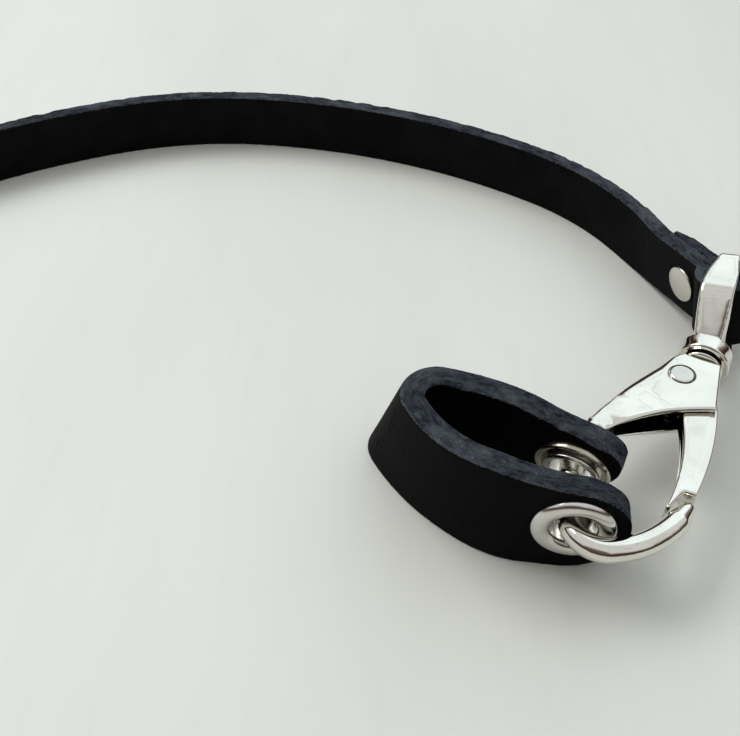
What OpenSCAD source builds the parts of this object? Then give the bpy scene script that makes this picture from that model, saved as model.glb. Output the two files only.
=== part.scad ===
// Leather bow protector for a pocket watch, on a swivel snap hook and a leather strap.
// The protector is a strip folded round the watch's bow, with an eyelet in each end.
// The hook's wire runs through both eyelets, and its swivel eye carries the strap.
// Lengths are in millimetres, angles in degrees. The table is at z = 0.

/* [Protector leather] */
// Width of the protector strip, its height as it stands on its edge
guard_w = 16.5; // [15:0.25:18]
// Thickness of the protector leather
guard_t = 3.0; // [2.6:0.1:3.1]
// Distance from the near eyelet's centre to the end of its leg
guard_end = 6.5; // [6:0.1:6.8]
// The same distance on the far leg, which is cut shorter
guard_far_end = 5.3; // [5.2:0.1:6.6]
// Width of the protector round its eyelets
guard_end_w = 14.4; // [13.6:0.1:16]
// Length over which the width falls from the fold's to the ends'
taper_l = 11; // [8:0.5:12]
// Mean radius of the fold that the bow sits in
guard_fold_r = 3.2; // [3.2:0.1:3.8]
// How far the fold's foot lies out beyond its top
guard_lean = 6.8; // [0:0.4:7.2]

/* [Eyelets] */
// Outside diameter of the eyelet flange
flange_d = 10.0; // [9.6:0.1:10.8]
// Clear hole through the eyelet
eyelet_bore = 5.8; // [5.6:0.1:6.4]
// Wall of the eyelet's barrel
eyelet_wall = 0.35; // [0.3:0.05:0.4]
// Height of the domed flange above the leather
flange_h = 0.9; // [0.8:0.05:0.95]
// Outside diameter of the washer on the inner side
washer_d = 9.6; // [9.2:0.1:11]
// Thickness of the washer
washer_h = 0.8; // [0.7:0.05:0.9]

/* [Hook] */
// Diameter of the hook's wire
wire_d = 3.0; // [2.8:0.05:3.1]
// Diameter of the hook's nose at its tip
nose_d = 1.9; // [1.6:0.1:2.2]
// Length of the tapered nose
nose_l = 2.4; // [2:0.1:2.6]
// Thickness of the hook's body over both cheeks
body_t = 4.8; // [4.7:0.1:5.6]
// Thickness of one cheek of the body
cheek_t = 0.75; // [0.7:0.05:0.8]
// Thickness of the body's outer wall
body_wall = 1.1; // [0.9:0.1:1.3]
// Thickness of the shoulder that the swivel turns in
shoulder_t = 1.8; // [1.5:0.1:1.8]

/* [Gate] */
// Thickness of the gate over both cheeks
gate_t = 3.0; // [2.8:0.05:3.1]
// Thickness of the gate's cheeks
gate_cheek = 0.65; // [0.6:0.05:0.7]
// Thickness of the gate's outer wall
gate_wall = 0.8; // [0.7:0.05:1]
// Radius of the gate's eye round the rivet
gate_eye_r = 1.8; // [1.75:0.05:1.85]

/* [Pivot and spring] */
// Diameter of the pivot rivet's shank
pivot_d = 1.9; // [1.7:0.05:2]
// Diameter of the pivot rivet's heads
pivot_head_d = 3.2; // [2.8:0.1:3.6]
// Height of the pivot rivet's heads above the cheek
pivot_head_h = 0.35; // [0.3:0.05:0.5]
// Wire of the gate spring
spring_wire = 0.35; // [0.3:0.05:0.35]
// Mean radius of the gate spring's coil
spring_r = 1.35; // [1.3:0.05:1.4]
// Rise of the gate spring in one turn
spring_pitch = 0.8; // [0.78:0.01:0.82]

/* [Swivel eye] */
// Height of the eye across its two legs
eye_h = 15.9; // [15:0.1:16.5]
// Width of the band that the eye is made of
eye_band_w = 4.5; // [4:0.1:4.5]
// Thickness of the band
eye_band_t = 2.0; // [1.8:0.1:2.1]
// Distance from the body to the outside of the end bar
eye_l = 16.65; // [16.25:0.1:17.85]
// Width of the end bar that the strap turns on
bar_w = 3.0; // [2.6:0.1:3.1]
// Radius of the end bar's round back, from the line that the strap turns about
bar_back = 1.85; // [1.75:0.05:1.85]
// Diameter of the collar
collar_d = 7.2; // [6.8:0.1:8]
// Thickness of the collar with its front rim
collar_h = 1.9; // [1.8:0.1:2.6]
// How far the eye is turned round its stem
eye_turn = 12; // [0:1:14]
// Diameter of the swivel stem
stem_d = 2.6; // [2.2:0.1:2.8]
// Diameter of the stem's closed end inside the body
stem_head_d = 3.2; // [3.0:0.1:3.2]

/* [Strap] */
// Width of the strap, its height as it stands on its edge
strap_w = 10; // [9:0.25:11]
// Thickness of the strap leather
strap_t = 2.6; // [2.2:0.1:2.7]
// Thickness of the turned-back end, which is skived
tail_t = 1.4; // [1.2:0.1:1.6]
// Length of the turned-back end that lies flat
tail_l = 9; // [8.6:0.1:11]
// Inside radius of the turn round the end bar
turn_r = 1.95; // [1.9:0.05:2.4]
// Length of the straight free end that holds the button slot
free_l = 24; // [22:1:40]
// Width of the button slot
slot_w = 1.6; // [1.2:0.1:2.4]
// Length of the button slot between its rounded ends
slot_l = 9; // [7:0.5:12]

/* [Strap rivet] */
// Diameter of the rivet's caps
cap_d = 5.6; // [5:0.1:6.2]
// Height of the rivet's caps
cap_h = 0.9; // [0.7:0.05:1.1]
// Diameter of the rivet's post
post_d = 2.4; // [2:0.1:2.8]
// Distance from the end bar to the strap rivet
rivet_x = 6.95; // [6.9:0.05:8.4]

/* [Fits] */
// Radial clearance of a shaft that turns in its hole
run_gap = 0.05; // [0.03:0.01:0.08]
// Clearance between flat faces that pass each other
side_gap = 0.15; // [0.1:0.05:0.2]

/* [Hidden] */
$fn = 64;
eps = 0.01;

// Heading and place of the clasp in plan: the body's end face, and the swivel axis from +Y
clasp_turn = 28;
clasp_at = [45.3, 87.3];
clasp_z = max(guard_w / 2, eye_h / 2 * cos(eye_turn) + eye_band_w / 2 * sin(eye_turn));
half_body = body_t / 2;
half_gap = half_body - cheek_t;
half_gate = min(gate_t / 2, half_gap - side_gap);
half_channel = half_gate - gate_cheek;

// The end of a run of given length and turn that starts at p with heading h
function run_end(p, h, len, turn) =
    turn == 0 ? [p.x + len * cos(h), p.y + len * sin(h), h] :
    let (r = len * 180 / (PI * turn))
    [p.x + r * (sin(h + turn) - sin(h)), p.y - r * (cos(h + turn) - cos(h)), h + turn];

// The start of each run, and the end of the last one, as [x, y, heading]
function run_starts(runs, p, h, i = 0) =
    i == len(runs) ? [[p.x, p.y, h]] :
    let (e = run_end(p, h, runs[i][0], runs[i][1]))
    concat([[p.x, p.y, h]], run_starts(runs, [e.x, e.y], e[2], i + 1));

function sum_to(runs, i) = i == 0 ? 0 : runs[i - 1][0] + sum_to(runs, i - 1);

// Stations along the runs as [x, y, heading, distance], close together where a run turns
function stations(runs, p, h, straight_step, turn_step) =
    let (starts = run_starts(runs, p, h))
    [for (i = [0 : len(runs) - 1])
        let (n = max(ceil(runs[i][0] / straight_step), ceil(abs(runs[i][1]) / turn_step)))
        for (k = [0 : n - 1 + (i == len(runs) - 1 ? 1 : 0)])
            let (e = run_end([starts[i].x, starts[i].y], starts[i][2],
                             runs[i][0] * k / n, runs[i][1] * k / n))
            [e.x, e.y, e[2], sum_to(runs, i) + runs[i][0] * k / n]];

// Points on an arc from p to q that bulges to the left of the line between them
function bulged(p, q, bulge, n) =
    let (d = q - p, c = norm(d), r = (c * c / 4 + bulge * bulge) / (2 * abs(bulge)),
         side = bulge > 0 ? 1 : -1, nrm = [-d.y, d.x] / c * side,
         centre = (p + q) / 2 + nrm * (abs(bulge) - r), a = asin(c / 2 / r))
    [for (k = [0 : n]) let (t = side * a * (1 - 2 * k / n), v = nrm * r)
        centre + [v.x * cos(t) - v.y * sin(t), v.x * sin(t) + v.y * cos(t)]];

// A corner at b between a and c, cut by an arc of radius r
function round_corner(a, b, c, r, n = 6) =
    let (u = (a - b) / norm(a - b), v = (c - b) / norm(c - b),
         half = acos(u * v) / 2, d = r / tan(half), m = (u + v) / norm(u + v),
         o = b + m * r / sin(half), s = b + u * d - o, e = b + v * d - o,
         a0 = atan2(s.y, s.x), raw = atan2(e.y, e.x) - a0,
         sweep = raw > 180 ? raw - 360 : raw < -180 ? raw + 360 : raw)
    [for (k = [0 : n]) o + r * [cos(a0 + sweep * k / n), sin(a0 + sweep * k / n)]];

// A polygon whose corners are rounded by the radius that is the third value of each point
function rounded(pts) =
    [for (i = [0 : len(pts) - 1])
        let (n = len(pts), a = pts[(i + n - 1) % n], b = pts[i], c = pts[(i + 1) % n])
        for (p = b[2] == 0 ? [[b.x, b.y]] :
             round_corner([a.x, a.y], [b.x, b.y], [c.x, c.y], b[2])) p];

// A closed skin over rings of points that all have the same count
module skin(rings) {
    m = len(rings[0]);
    n = len(rings);
    polyhedron(
        points = [for (ring = rings) for (p = ring) p],
        faces = concat(
            [[for (j = [0 : m - 1]) j]],
            [[for (j = [0 : m - 1]) (n - 1) * m + m - 1 - j]],
            [for (i = [0 : n - 2]) for (j = [0 : m - 1])
                let (a = i * m + j, b = i * m + (j + 1) % m)
                for (f = [[a, a + m, b], [b, a + m, b + m]]) f]),
        convexity = 8);
}

// Strap: the fold round the end bar, drawn flat before the eye's turn is given to it
bar_x = eye_l - bar_back;
bar_at = clasp_at + bar_x * [sin(clasp_turn), cos(clasp_turn)];
strap_heading = 110.4;
turn_mid = turn_r + strap_t / 2;
ease_r = 1.4;
function ease_x(offset) = sqrt(pow(turn_mid + ease_r, 2) - pow(offset + ease_r, 2));
tail_x = ease_x(tail_t / 2);
front_x = ease_x(strap_t / 2);
tail_a = atan2(tail_x, tail_t / 2 + ease_r);
front_a = atan2(front_x, strap_t / 2 + ease_r);
turn_a = 180 + tail_a + front_a;
arc_of = PI / 180;
rivet_flat = max(cap_d / 2, tail_x + tail_l - rivet_x) + 0.4;
ply_gap = 0.04;
skive_t = 0.6;
fold_runs = [
    [tail_l, 0],
    [ease_r * tail_a * arc_of, tail_a],
    [turn_mid * turn_a * arc_of, -turn_a],
    [ease_r * front_a * arc_of, front_a],
    [rivet_x - front_x + rivet_flat, 0]];
// The rest of the strap, lying on its edge along the table
free_runs = [[2.8, -3.7], [28.4, 37.4], [55.4, 30.5], [28.1, 25], [44, 23], [free_l, 0]];
strap_along = [cos(strap_heading), sin(strap_heading)];
strap_left = [-strap_along.y, strap_along.x];
fold_start = bar_at + (tail_x + tail_l) * strap_along - tail_t / 2 * strap_left;
fold_path = stations(fold_runs, fold_start, strap_heading + 180, 6, 6);
fold_l = sum_to(fold_runs, len(fold_runs));
end_r = strap_w / 2 - 0.6;
end_flat = 1.2;
roll_l = 10;

function ease(t) = let (c = min(1, max(0, t))) c * c * (3 - 2 * c);
function unit(v) = v / norm(v);

// A vector, and a point, turned with the swivel eye round the stem's axis
eye_across = [cos(clasp_turn), -sin(clasp_turn), 0];
eye_ahead = [sin(clasp_turn), cos(clasp_turn), 0];
eye_centre = [clasp_at.x, clasp_at.y, clasp_z];
function turned(v) =
    let (p = v * eye_across, z = v.z)
    (p * cos(eye_turn) - z * sin(eye_turn)) * eye_across + (v * eye_ahead) * eye_ahead
    + [0, 0, p * sin(eye_turn) + z * cos(eye_turn)];
function turned_point(p) = eye_centre + turned(p - eye_centre);

function fold_thick(s) =
    s < tail_l ? skive_t + (tail_t - skive_t) * min(1, s / (tail_l - cap_d)) :
    tail_t + (strap_t - tail_t) * ease((s - tail_l) / (ease_r * tail_a * arc_of + 4));
// Fold sections as [centre, up, left, thickness, half height]
fold_sections = [for (p = fold_path)
    let (t = fold_thick(p[3]), n = [-sin(p[2]), cos(p[2]), 0],
         in = p[3] < tail_l ? (t - tail_t) / 2 : p[3] < tail_l + turn_mid ? 0 : ply_gap / 2)
    [turned_point([p.x, p.y, clasp_z] + in * n), turned([0, 0, 1]), turned(n), t, strap_w / 2]];

// The strap comes down from the eye at the slope it has there, and settles on its edge
leave = fold_path[len(fold_path) - 1];
leave_at = turned_point([leave.x, leave.y, clasp_z]);
leave_way = turned([cos(leave[2]), sin(leave[2]), 0]);
leave_heading = atan2(leave_way.y, leave_way.x);
leave_slope = leave_way.z / norm([leave_way.x, leave_way.y]);
leave_drop = leave_at.z - strap_w / 2;
settle_l = leave_slope < -0.01 ? min(60, 2 * leave_drop / -leave_slope) : 40;
free_starts = run_starts(free_runs, [leave_at.x, leave_at.y], leave_heading);
free_total = sum_to(free_runs, len(free_runs));
tip_pose = free_starts[len(free_runs)];
function free_z(s) =
    let (t = min(1, s / settle_l), d = leave_slope * settle_l)
    strap_w / 2 + leave_drop * (1 - t) * (1 - t) * (1 + 2 * t) + d * t * (1 - t) * (1 - t);
function free_slope(s) = (free_z(s + 0.05) - free_z(max(0, s - 0.05))) / (s < 0.05 ? s + 0.05 : 0.1);
function frame_up(h, slope) =
    let (t = unit([cos(h), sin(h), slope])) unit([0, 0, 1] - t.z * t);
function free_half(s) =
    let (u = max(0, s - (free_total - end_r)))
    end_flat / 2 + (strap_w - end_flat) / 2 / end_r * sqrt(max(0, end_r * end_r - u * u));
leave_up = frame_up(leave_heading, leave_slope);
leave_side = cross(leave_up, unit([cos(leave_heading), sin(leave_heading), leave_slope]));
leave_roll = atan2(turned([0, 0, 1]) * leave_side, turned([0, 0, 1]) * leave_up);
free_path = concat(
    [for (p = stations(free_runs, [leave_at.x, leave_at.y], leave_heading, 6, 6))
        if (p[3] > eps && p[3] < free_total - end_r - 1) p],
    [for (k = [0 : 8])
        let (u = end_r * sin(k * 90 / 8), e = run_end([tip_pose.x, tip_pose.y], tip_pose[2], u - end_r, 0))
        [e.x, e.y, e[2], free_total - end_r + u]]);
free_sections = [for (p = free_path)
    let (up = frame_up(p[2], free_slope(p[3])), side = cross(up, [cos(p[2]), sin(p[2]), 0]),
         r = leave_roll * (1 - ease(p[3] / roll_l)))
    [[p.x, p.y, free_z(p[3])], cos(r) * up + sin(r) * unit(side), cos(r) * unit(side) - sin(r) * up,
     strap_t, free_half(p[3])]];

// The four corners of a strap section
function strap_ring(q) =
    let (n = q[3] / 2 * q[2], u = q[4] * q[1])
    [q[0] + n - u, q[0] + n + u, q[0] - n + u, q[0] - n - u];
strap_rings = [for (q = concat(fold_sections, free_sections)) strap_ring(q)];

// Turns its children, drawn in place for an upright eye, with the eye round its stem
module with_eye() {
    translate(eye_centre)
        rotate([0, 0, -clasp_turn])
            rotate([0, -eye_turn, 0])
                rotate([0, 0, clasp_turn])
                    translate(-eye_centre)
                        children();
}

// Places its children at the strap's rivet, with z along the rivet towards the near side
module at_rivet() {
    c = bar_at + rivet_x * strap_along;
    with_eye()
        translate([c.x, c.y, clasp_z])
            rotate([0, 0, strap_heading])
                rotate([-90, 0, 0])
                    children();
}

module strap() {
    slot_at = run_end([tip_pose.x, tip_pose.y], tip_pose[2], -end_r - 3 - slot_l / 2, 0);
    color([0.05, 0.05, 0.06])
        difference() {
            skin(strap_rings);
            at_rivet()
                cylinder(h = 4 * strap_t, d = post_d, center = true);
            translate([slot_at.x, slot_at.y, strap_w / 2])
                rotate([0, 0, tip_pose[2]]) {
                    cube([slot_l - slot_w, 2 * strap_t, slot_w], center = true);
                    for (side = [-1, 1])
                        translate([side * (slot_l - slot_w) / 2, 0, 0])
                            rotate([90, 0, 0])
                                cylinder(h = 2 * strap_t, d = slot_w, center = true);
                }
        }
}

// A low domed cap: a spherical top over a short rim, standing on z = 0
module dome(d, h) {
    rim = h * 0.35;
    rise = h - rim;
    r = (d * d / 4 + rise * rise) / (2 * rise);
    cylinder(h = rim, d = d);
    intersection() {
        translate([0, 0, h - r])
            sphere(r = r);
        translate([0, 0, rim - eps])
            cylinder(h = h, d = d);
    }
}

module rivet_cap() {
    color([0.78, 0.77, 0.74])
        at_rivet()
            translate([0, 0, strap_t + ply_gap / 2])
                dome(cap_d, cap_h);
}

module rivet_post() {
    color([0.78, 0.77, 0.74])
        at_rivet() {
            translate([0, 0, -tail_t])
                rotate([180, 0, 0])
                    dome(cap_d, cap_h);
            translate([0, 0, -tail_t])
                cylinder(h = strap_t + ply_gap / 2 + tail_t, d = post_d);
        }
}

// Protector: plan path from the near end, round the fold and on to the far end
fold_turn = 130;
eyelet_flat = flange_d / 2 + 0.1;
guard_flat = guard_end + eyelet_flat;
guard_runs = [
    [guard_flat, 0],
    [7.017, -26],
    [13.506, -32.5],
    [guard_fold_r * fold_turn * arc_of, -fold_turn],
    [7.7, -10.5],
    [7.4, 0],
    [guard_far_end + eyelet_flat, 0]];
near_at = clasp_at + [-21.7, -25.52];
near_heading = 172.5;
guard_start = near_at - guard_end * [cos(near_heading), sin(near_heading)];
guard_path = stations(guard_runs, guard_start, near_heading, 3, 5);
guard_total = sum_to(guard_runs, len(guard_runs));
far_pose = run_starts(guard_runs, guard_start, near_heading)[len(guard_runs)];
far_heading = far_pose[2];
far_at = [far_pose.x, far_pose.y] - guard_far_end * [cos(far_heading), sin(far_heading)];
fold_s = sum_to(guard_runs, 3) + guard_runs[3][0] / 2;
lean_way = [cos(126), sin(126)];
tip_r = guard_w / 2 - 0.5;

function guard_half(s) =
    let (u = max(0, tip_r - s, s - (guard_total - tip_r)))
    0.5 + sqrt(max(0, tip_r * tip_r - u * u));
// Both ends are cut lower than the fold, and their lower edge stays on the table
function guard_top(s) =
    let (from_end = min(s, guard_total - s),
         full = 1 - ease((from_end - guard_end) / taper_l))
    guard_half(s) * (1 - (guard_w - guard_end_w) / (guard_w / 2) * full);
// The near leg stands upright; the fold and the far leg lean, their feet farther out
function lean_at(s) = guard_lean / guard_w * ease((s - guard_flat) / (fold_s - guard_flat));
// How steeply the leather's face slopes at a station with heading h
function lean_out(s, h) = lean_at(s) * (lean_way * [-sin(h), cos(h)]);
far_tilt = atan(lean_out(guard_total, far_heading));

module protector_leather() {
    rim_steps = 7;
    caps = [for (k = [0 : rim_steps]) tip_r * (1 - cos(k * 90 / rim_steps))];
    function on_path(s) =
        s < guard_flat
            ? let (e = run_end(guard_start, near_heading, s, 0)) [e.x, e.y, e[2], s]
            : let (e = run_end([far_pose.x, far_pose.y], far_heading, s - guard_total, 0))
              [e.x, e.y, e[2], s];
    middle = [for (p = guard_path) if (p[3] > tip_r + eps && p[3] < guard_total - tip_r - eps) p];
    list = concat([for (c = caps) on_path(c)], middle,
                  [for (k = [rim_steps : -1 : 0]) on_path(guard_total - caps[k])]);
    color([0.05, 0.05, 0.06])
        difference() {
            skin([for (p = list)
                let (lean = lean_out(p[3], p[2]), low = guard_half(p[3]), high = guard_top(p[3]),
                     n = [-sin(p[2]), cos(p[2])] * guard_t / 2 * sqrt(1 + lean * lean),
                     at = function (up, side)
                         [p.x, p.y, clasp_z] + side * [n.x, n.y, 0]
                         + (up > 0 ? high : -low)
                         * [-lean_way.x * lean_at(p[3]), -lean_way.y * lean_at(p[3]), 1])
                [at(-1, 1), at(1, 1), at(1, -1), at(-1, -1)]]);
            at_near_eyelet()
                rotate([0, 0, 21])
                    cylinder(h = 3 * guard_t, d = eyelet_bore + 2 * eyelet_wall, center = true);
            at_far_eyelet()
                rotate([0, 0, 21])
                    cylinder(h = 3 * guard_t, d = eyelet_bore + 2 * eyelet_wall, center = true);
        }
}

// z points out of the protector at each eyelet, and z = 0 is the leather's mid-plane
module at_near_eyelet() {
    translate([near_at.x, near_at.y, clasp_z])
        rotate([0, 0, near_heading])
            rotate([-90, 0, 0])
                children();
}
module at_far_eyelet() {
    translate([far_at.x, far_at.y, clasp_z])
        rotate([0, 0, far_heading])
            rotate([far_tilt - 90, 0, 0])
                children();
}

// An eyelet: domed flange outside, barrel through the leather, lip rolled over the washer
module eyelet() {
    bore_r = eyelet_bore / 2;
    barrel_r = bore_r + eyelet_wall;
    seat = guard_t / 2;
    lip = 0.5;
    mid_r = (barrel_r + flange_d / 2) / 2;
    half_w = flange_d / 2 - mid_r;
    dome_r = (half_w * half_w + flange_h * flange_h) / (2 * flange_h);
    rotate_extrude() {
        translate([bore_r, -seat - washer_h - eps])
            square([eyelet_wall, guard_t + washer_h + 2 * eps]);
        intersection() {
            translate([mid_r, seat + flange_h - dome_r])
                circle(r = dome_r);
            translate([bore_r, seat])
                square([flange_d / 2 - bore_r, flange_h]);
        }
        translate([bore_r, seat])
            square([mid_r - bore_r - 0.9, flange_h * 0.62]);
        translate([bore_r, -seat - washer_h - lip])
            square([eyelet_wall + 0.55, lip]);
    }
}

// A washer with a raised outer rim and a dished middle
module washer() {
    inner_r = eyelet_bore / 2 + eyelet_wall;
    outer_r = washer_d / 2;
    seat = guard_t / 2;
    third = (outer_r - inner_r) / 3;
    rotate_extrude()
        polygon([
            [inner_r, -seat],
            [inner_r, -seat - washer_h],
            [inner_r + third * 0.9, -seat - washer_h],
            [inner_r + third * 1.3, -seat - washer_h * 0.55],
            [inner_r + third * 2.0, -seat - washer_h * 0.55],
            [inner_r + third * 2.4, -seat - washer_h * 0.95],
            [outer_r - third * 0.2, -seat - washer_h * 0.7],
            [outer_r, -seat]]);
}

module near_eyelet() {
    color([0.80, 0.79, 0.76])
        at_near_eyelet()
            eyelet();
}
module near_washer() {
    color([0.72, 0.70, 0.63])
        at_near_eyelet()
            washer();
}
module far_eyelet() {
    color([0.80, 0.79, 0.76])
        at_far_eyelet()
            eyelet();
}
module far_washer() {
    color([0.72, 0.70, 0.63])
        at_far_eyelet()
            washer();
}

// Clasp frame: x across, y along the swivel axis towards the eye, z up from its mid-plane
module in_clasp() {
    translate([clasp_at.x, clasp_at.y, clasp_z])
        rotate([0, 0, -clasp_turn])
            children();
}

// Hook wire in the clasp frame, from the nose's tip round to the arm
nose_at = [4.35, -25.4];
nose_heading = 256.2;
hook_runs = [[4.3, -15.4], [5.2, -25.8], [6.7, -98.5], [10, -13.1], [5.1, -36.1]];
nose_base = [nose_at.x + nose_l * cos(nose_heading), nose_at.y + nose_l * sin(nose_heading)];
hook_starts = run_starts(hook_runs, nose_base, nose_heading - 4.4);
arm_pose = hook_starts[len(hook_runs)];

// Body outline in the clasp frame
shoulder_y = -1.8;
shoulder_l = [-3.7, shoulder_y - 1.3];
shoulder_r = [2.5, shoulder_y];
body_r = [3.75, -10.2];
pivot_at = [-1.75, -6.1];
arm_l = [arm_pose.x, arm_pose.y] + wire_d / 2 * [-sin(arm_pose[2]), cos(arm_pose[2])];
arm_r = [arm_pose.x, arm_pose.y] - wire_d / 2 * [-sin(arm_pose[2]), cos(arm_pose[2])];
outer_bulge = 0.25;
inner_bulge = -0.9;

function body_outline() = concat(
    [[shoulder_l.x + 1.1, shoulder_y], shoulder_r],
    bulged(body_r, arm_r, inner_bulge, 12),
    bulged(arm_l, shoulder_l, outer_bulge, 12));

module body_cavity() {
    way = (shoulder_l - arm_l) / norm(shoulder_l - arm_l);
    inset = body_wall * [way.y, -way.x];
    deep = shoulder_l + inset - way * shoulder_t;
    shallow = arm_l + inset + way * 2.6;
    linear_extrude(height = 2 * half_gap, center = true)
        polygon(concat(
            bulged(shallow, deep, outer_bulge * 0.6, 8),
            [[deep.x + 0.6, shoulder_y - shoulder_t], [body_r.x + 3, shoulder_y - shoulder_t],
             [body_r.x + 3, body_r.y - 6], [shallow.x + 3.2, shallow.y - 3.4]]));
}

// The arm thins from the body's full thickness to the wire's
module side_profile() {
    half_wire = wire_d / 2;
    thin_y = arm_pose.y - 1;
    rotate([90, 0, 90])
        linear_extrude(height = 60, center = true)
            polygon([
                [shoulder_y + 1, -half_body], [shoulder_y + 1, half_body],
                [thin_y + 3.4, half_body], [thin_y, half_wire],
                [thin_y - 4, half_wire], [thin_y - 4, -half_wire],
                [thin_y, -half_wire], [thin_y + 3.4, -half_body]]);
}

// Rings of a round tube along a path that stays near the xy plane, each with its own diameter
function tube_rings(path, ds, sides) =
    [for (i = [0 : len(path) - 1])
        let (a = path[max(0, i - 1)], b = path[min(len(path) - 1, i + 1)],
             t = (b - a) / norm(b - a), u = cross([0, 0, 1], t) / norm(cross([0, 0, 1], t)),
             v = cross(t, u))
        [for (j = [0 : sides - 1])
            path[i] + ds[i] / 2 * (cos(360 * (j + 0.5) / sides) * u
                                   + sin(360 * (j + 0.5) / sides) * v)]];

// The hook's wire: a rounded nose, its taper, the bends and a foot inside the arm
module hook_wire() {
    way = [cos(nose_heading), sin(nose_heading)];
    tip_a = [for (k = [0 : 5]) 10 + 16 * k];
    bends = stations(hook_runs, nose_base, nose_heading - 4.4, 2, 6);
    foot = run_end([arm_pose.x, arm_pose.y], arm_pose[2], 2.2, 0);
    path = concat(
        [for (a = tip_a) nose_at - nose_d / 2 * cos(a) * way],
        [for (p = bends) [p.x, p.y]],
        [[foot.x, foot.y]]);
    ds = concat([for (a = tip_a) nose_d * sin(a)], [for (p = bends) wire_d], [wire_d]);
    skin(tube_rings([for (p = path) [p.x, p.y, 0]], ds, 24));
}

module hook_body() {
    color([0.80, 0.80, 0.80])
        in_clasp()
            union() {
                hook_wire();
                difference() {
                    intersection() {
                        linear_extrude(height = body_t, center = true)
                            polygon(body_outline());
                        side_profile();
                    }
                    body_cavity();
                    translate([0, shoulder_y + 1, 0])
                        rotate([90, 0, 0])
                            cylinder(h = shoulder_t + 2, d = stem_d + 2 * run_gap);
                    translate([pivot_at.x, pivot_at.y, 0])
                        cylinder(h = body_t + 1, d = pivot_d, center = true);
                }
            }
}

// Gate outline in the clasp frame: the eye round the rivet, the lever and its lap on the nose
gate_top_y = -5.2;
gate_tip = [1.95, -27.2];
lap_gap = 0.12;
nose_side = [sin(nose_heading), -cos(nose_heading)];
lap_top = nose_at + (nose_d / 2 + lap_gap) * nose_side;
lap_foot = lap_top + 0.78 * (nose_base + (wire_d / 2 + lap_gap) * nose_side - lap_top);
gate_end = [4.85, nose_at.y + nose_d / 2 + 0.35];
gate_heel = [3.2, gate_top_y - 1.2];

function gate_outline() = concat(
    [gate_heel + [-0.9, 0.9], gate_heel],
    bulged(gate_heel, gate_end, 0.85, 10),
    [[lap_top.x, gate_end.y - 0.15], lap_foot],
    bulged(gate_tip, [-0.2, -11.8], -0.95, 10),
    [for (a = [200 : -11 : 90]) pivot_at + gate_eye_r * [cos(a), sin(a)]]);

module gate() {
    color([0.82, 0.82, 0.82])
        in_clasp()
            difference() {
                linear_extrude(height = 2 * half_gate, center = true)
                    polygon(gate_outline());
                gate_channel();
                translate([pivot_at.x, pivot_at.y, 0])
                    cylinder(h = gate_t + 1, d = pivot_d + 2 * run_gap, center = true);
            }
}

// The hollow between the gate's cheeks, open towards the hook's mouth
module gate_channel() {
    foot = [gate_end.x - gate_wall, gate_end.y + 2.2];
    head = gate_heel + [-gate_wall, 0];
    linear_extrude(height = 2 * half_channel, center = true)
        polygon(concat(
            bulged(head, foot, 0.75, 10),
            [[foot.x - 6, foot.y], [pivot_at.x - 4, pivot_at.y - 4],
             [pivot_at.x - 4, pivot_at.y + 4], [head.x, pivot_at.y + 4]]));
}

module pivot_rivet() {
    head_z = half_body;
    color([0.84, 0.84, 0.84])
        in_clasp()
            translate([pivot_at.x, pivot_at.y, 0]) {
                cylinder(h = body_t, d = pivot_d, center = true);
                for (side = [0, 180])
                    rotate([side, 0, 0])
                        translate([0, 0, head_z])
                            dome(pivot_head_d, pivot_head_h);
            }
}

// Gate spring: one wire from the gate's wall, round the rivet and out to the body's wall
spring_turns = 1.5;
spring_start_a = -38;
spring_sweep = -360 * spring_turns;
spring_h = spring_pitch * spring_turns;
function spring_coil_point(t) =
    let (a = spring_start_a + spring_sweep * t)
    [pivot_at.x + spring_r * cos(a), pivot_at.y + spring_r * sin(a), spring_h * (t - 0.5)];
function spring_tangent(a) = [sin(a), -cos(a)];
leg_a = 3.3;
leg_b = 2.1;
spring_path = let (
    curls = [for (k = [0 : 8 * spring_turns]) spring_coil_point(k / (8 * spring_turns))],
    first = curls[0], last = curls[len(curls) - 1],
    ta = spring_tangent(spring_start_a), tb = spring_tangent(spring_start_a + spring_sweep))
    concat(
        [[first.x - leg_a * ta.x, first.y - leg_a * ta.y, first.z]],
        [[first.x - leg_a / 2 * ta.x, first.y - leg_a / 2 * ta.y, first.z]],
        curls,
        [[last.x + leg_b / 2 * tb.x, last.y + leg_b / 2 * tb.y, last.z]],
        [[last.x + leg_b * tb.x, last.y + leg_b * tb.y, last.z]]);

// The least distance between points of the wire half a curl or more apart, less its thickness
spring_self_gap = min([for (i = [0 : len(spring_path) - 6]) for (j = [i + 5 : len(spring_path) - 1])
    norm(spring_path[i] - spring_path[j])]) - spring_wire;
echo(spring_self_gap = spring_self_gap);

module gate_spring() {
    color([0.6, 0.6, 0.6])
        in_clasp()
            skin(tube_rings(spring_path, [for (p = spring_path) spring_wire], 6));
}

// Eye outline in the plane of the swivel axis and z, each point with its corner radius
eye_neck_y = collar_h + 0.5;
neck_half = 2.4;
function eye_outer() = rounded([
    [eye_neck_y, -neck_half, 0], [eye_neck_y + 4.6, -eye_h / 2, 3.5], [eye_l, -eye_h / 2, 2.2],
    [eye_l, eye_h / 2, 2.2], [eye_neck_y + 4.6, eye_h / 2, 3.5], [eye_neck_y, neck_half, 0]]);
function eye_window() =
    let (t = eye_band_t, bar_front = bar_x - eye_band_t / 2)
    rounded([
        [eye_neck_y + 2.2, -neck_half + 1.1, 1.0], [eye_neck_y + 5.5, -eye_h / 2 + t, 2.0],
        [bar_front, -eye_h / 2 + t, 1.0], [bar_front, eye_h / 2 - t, 1.0],
        [eye_neck_y + 5.5, eye_h / 2 - t, 2.0], [eye_neck_y + 2.2, neck_half - 1.1, 1.0]]);

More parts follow.
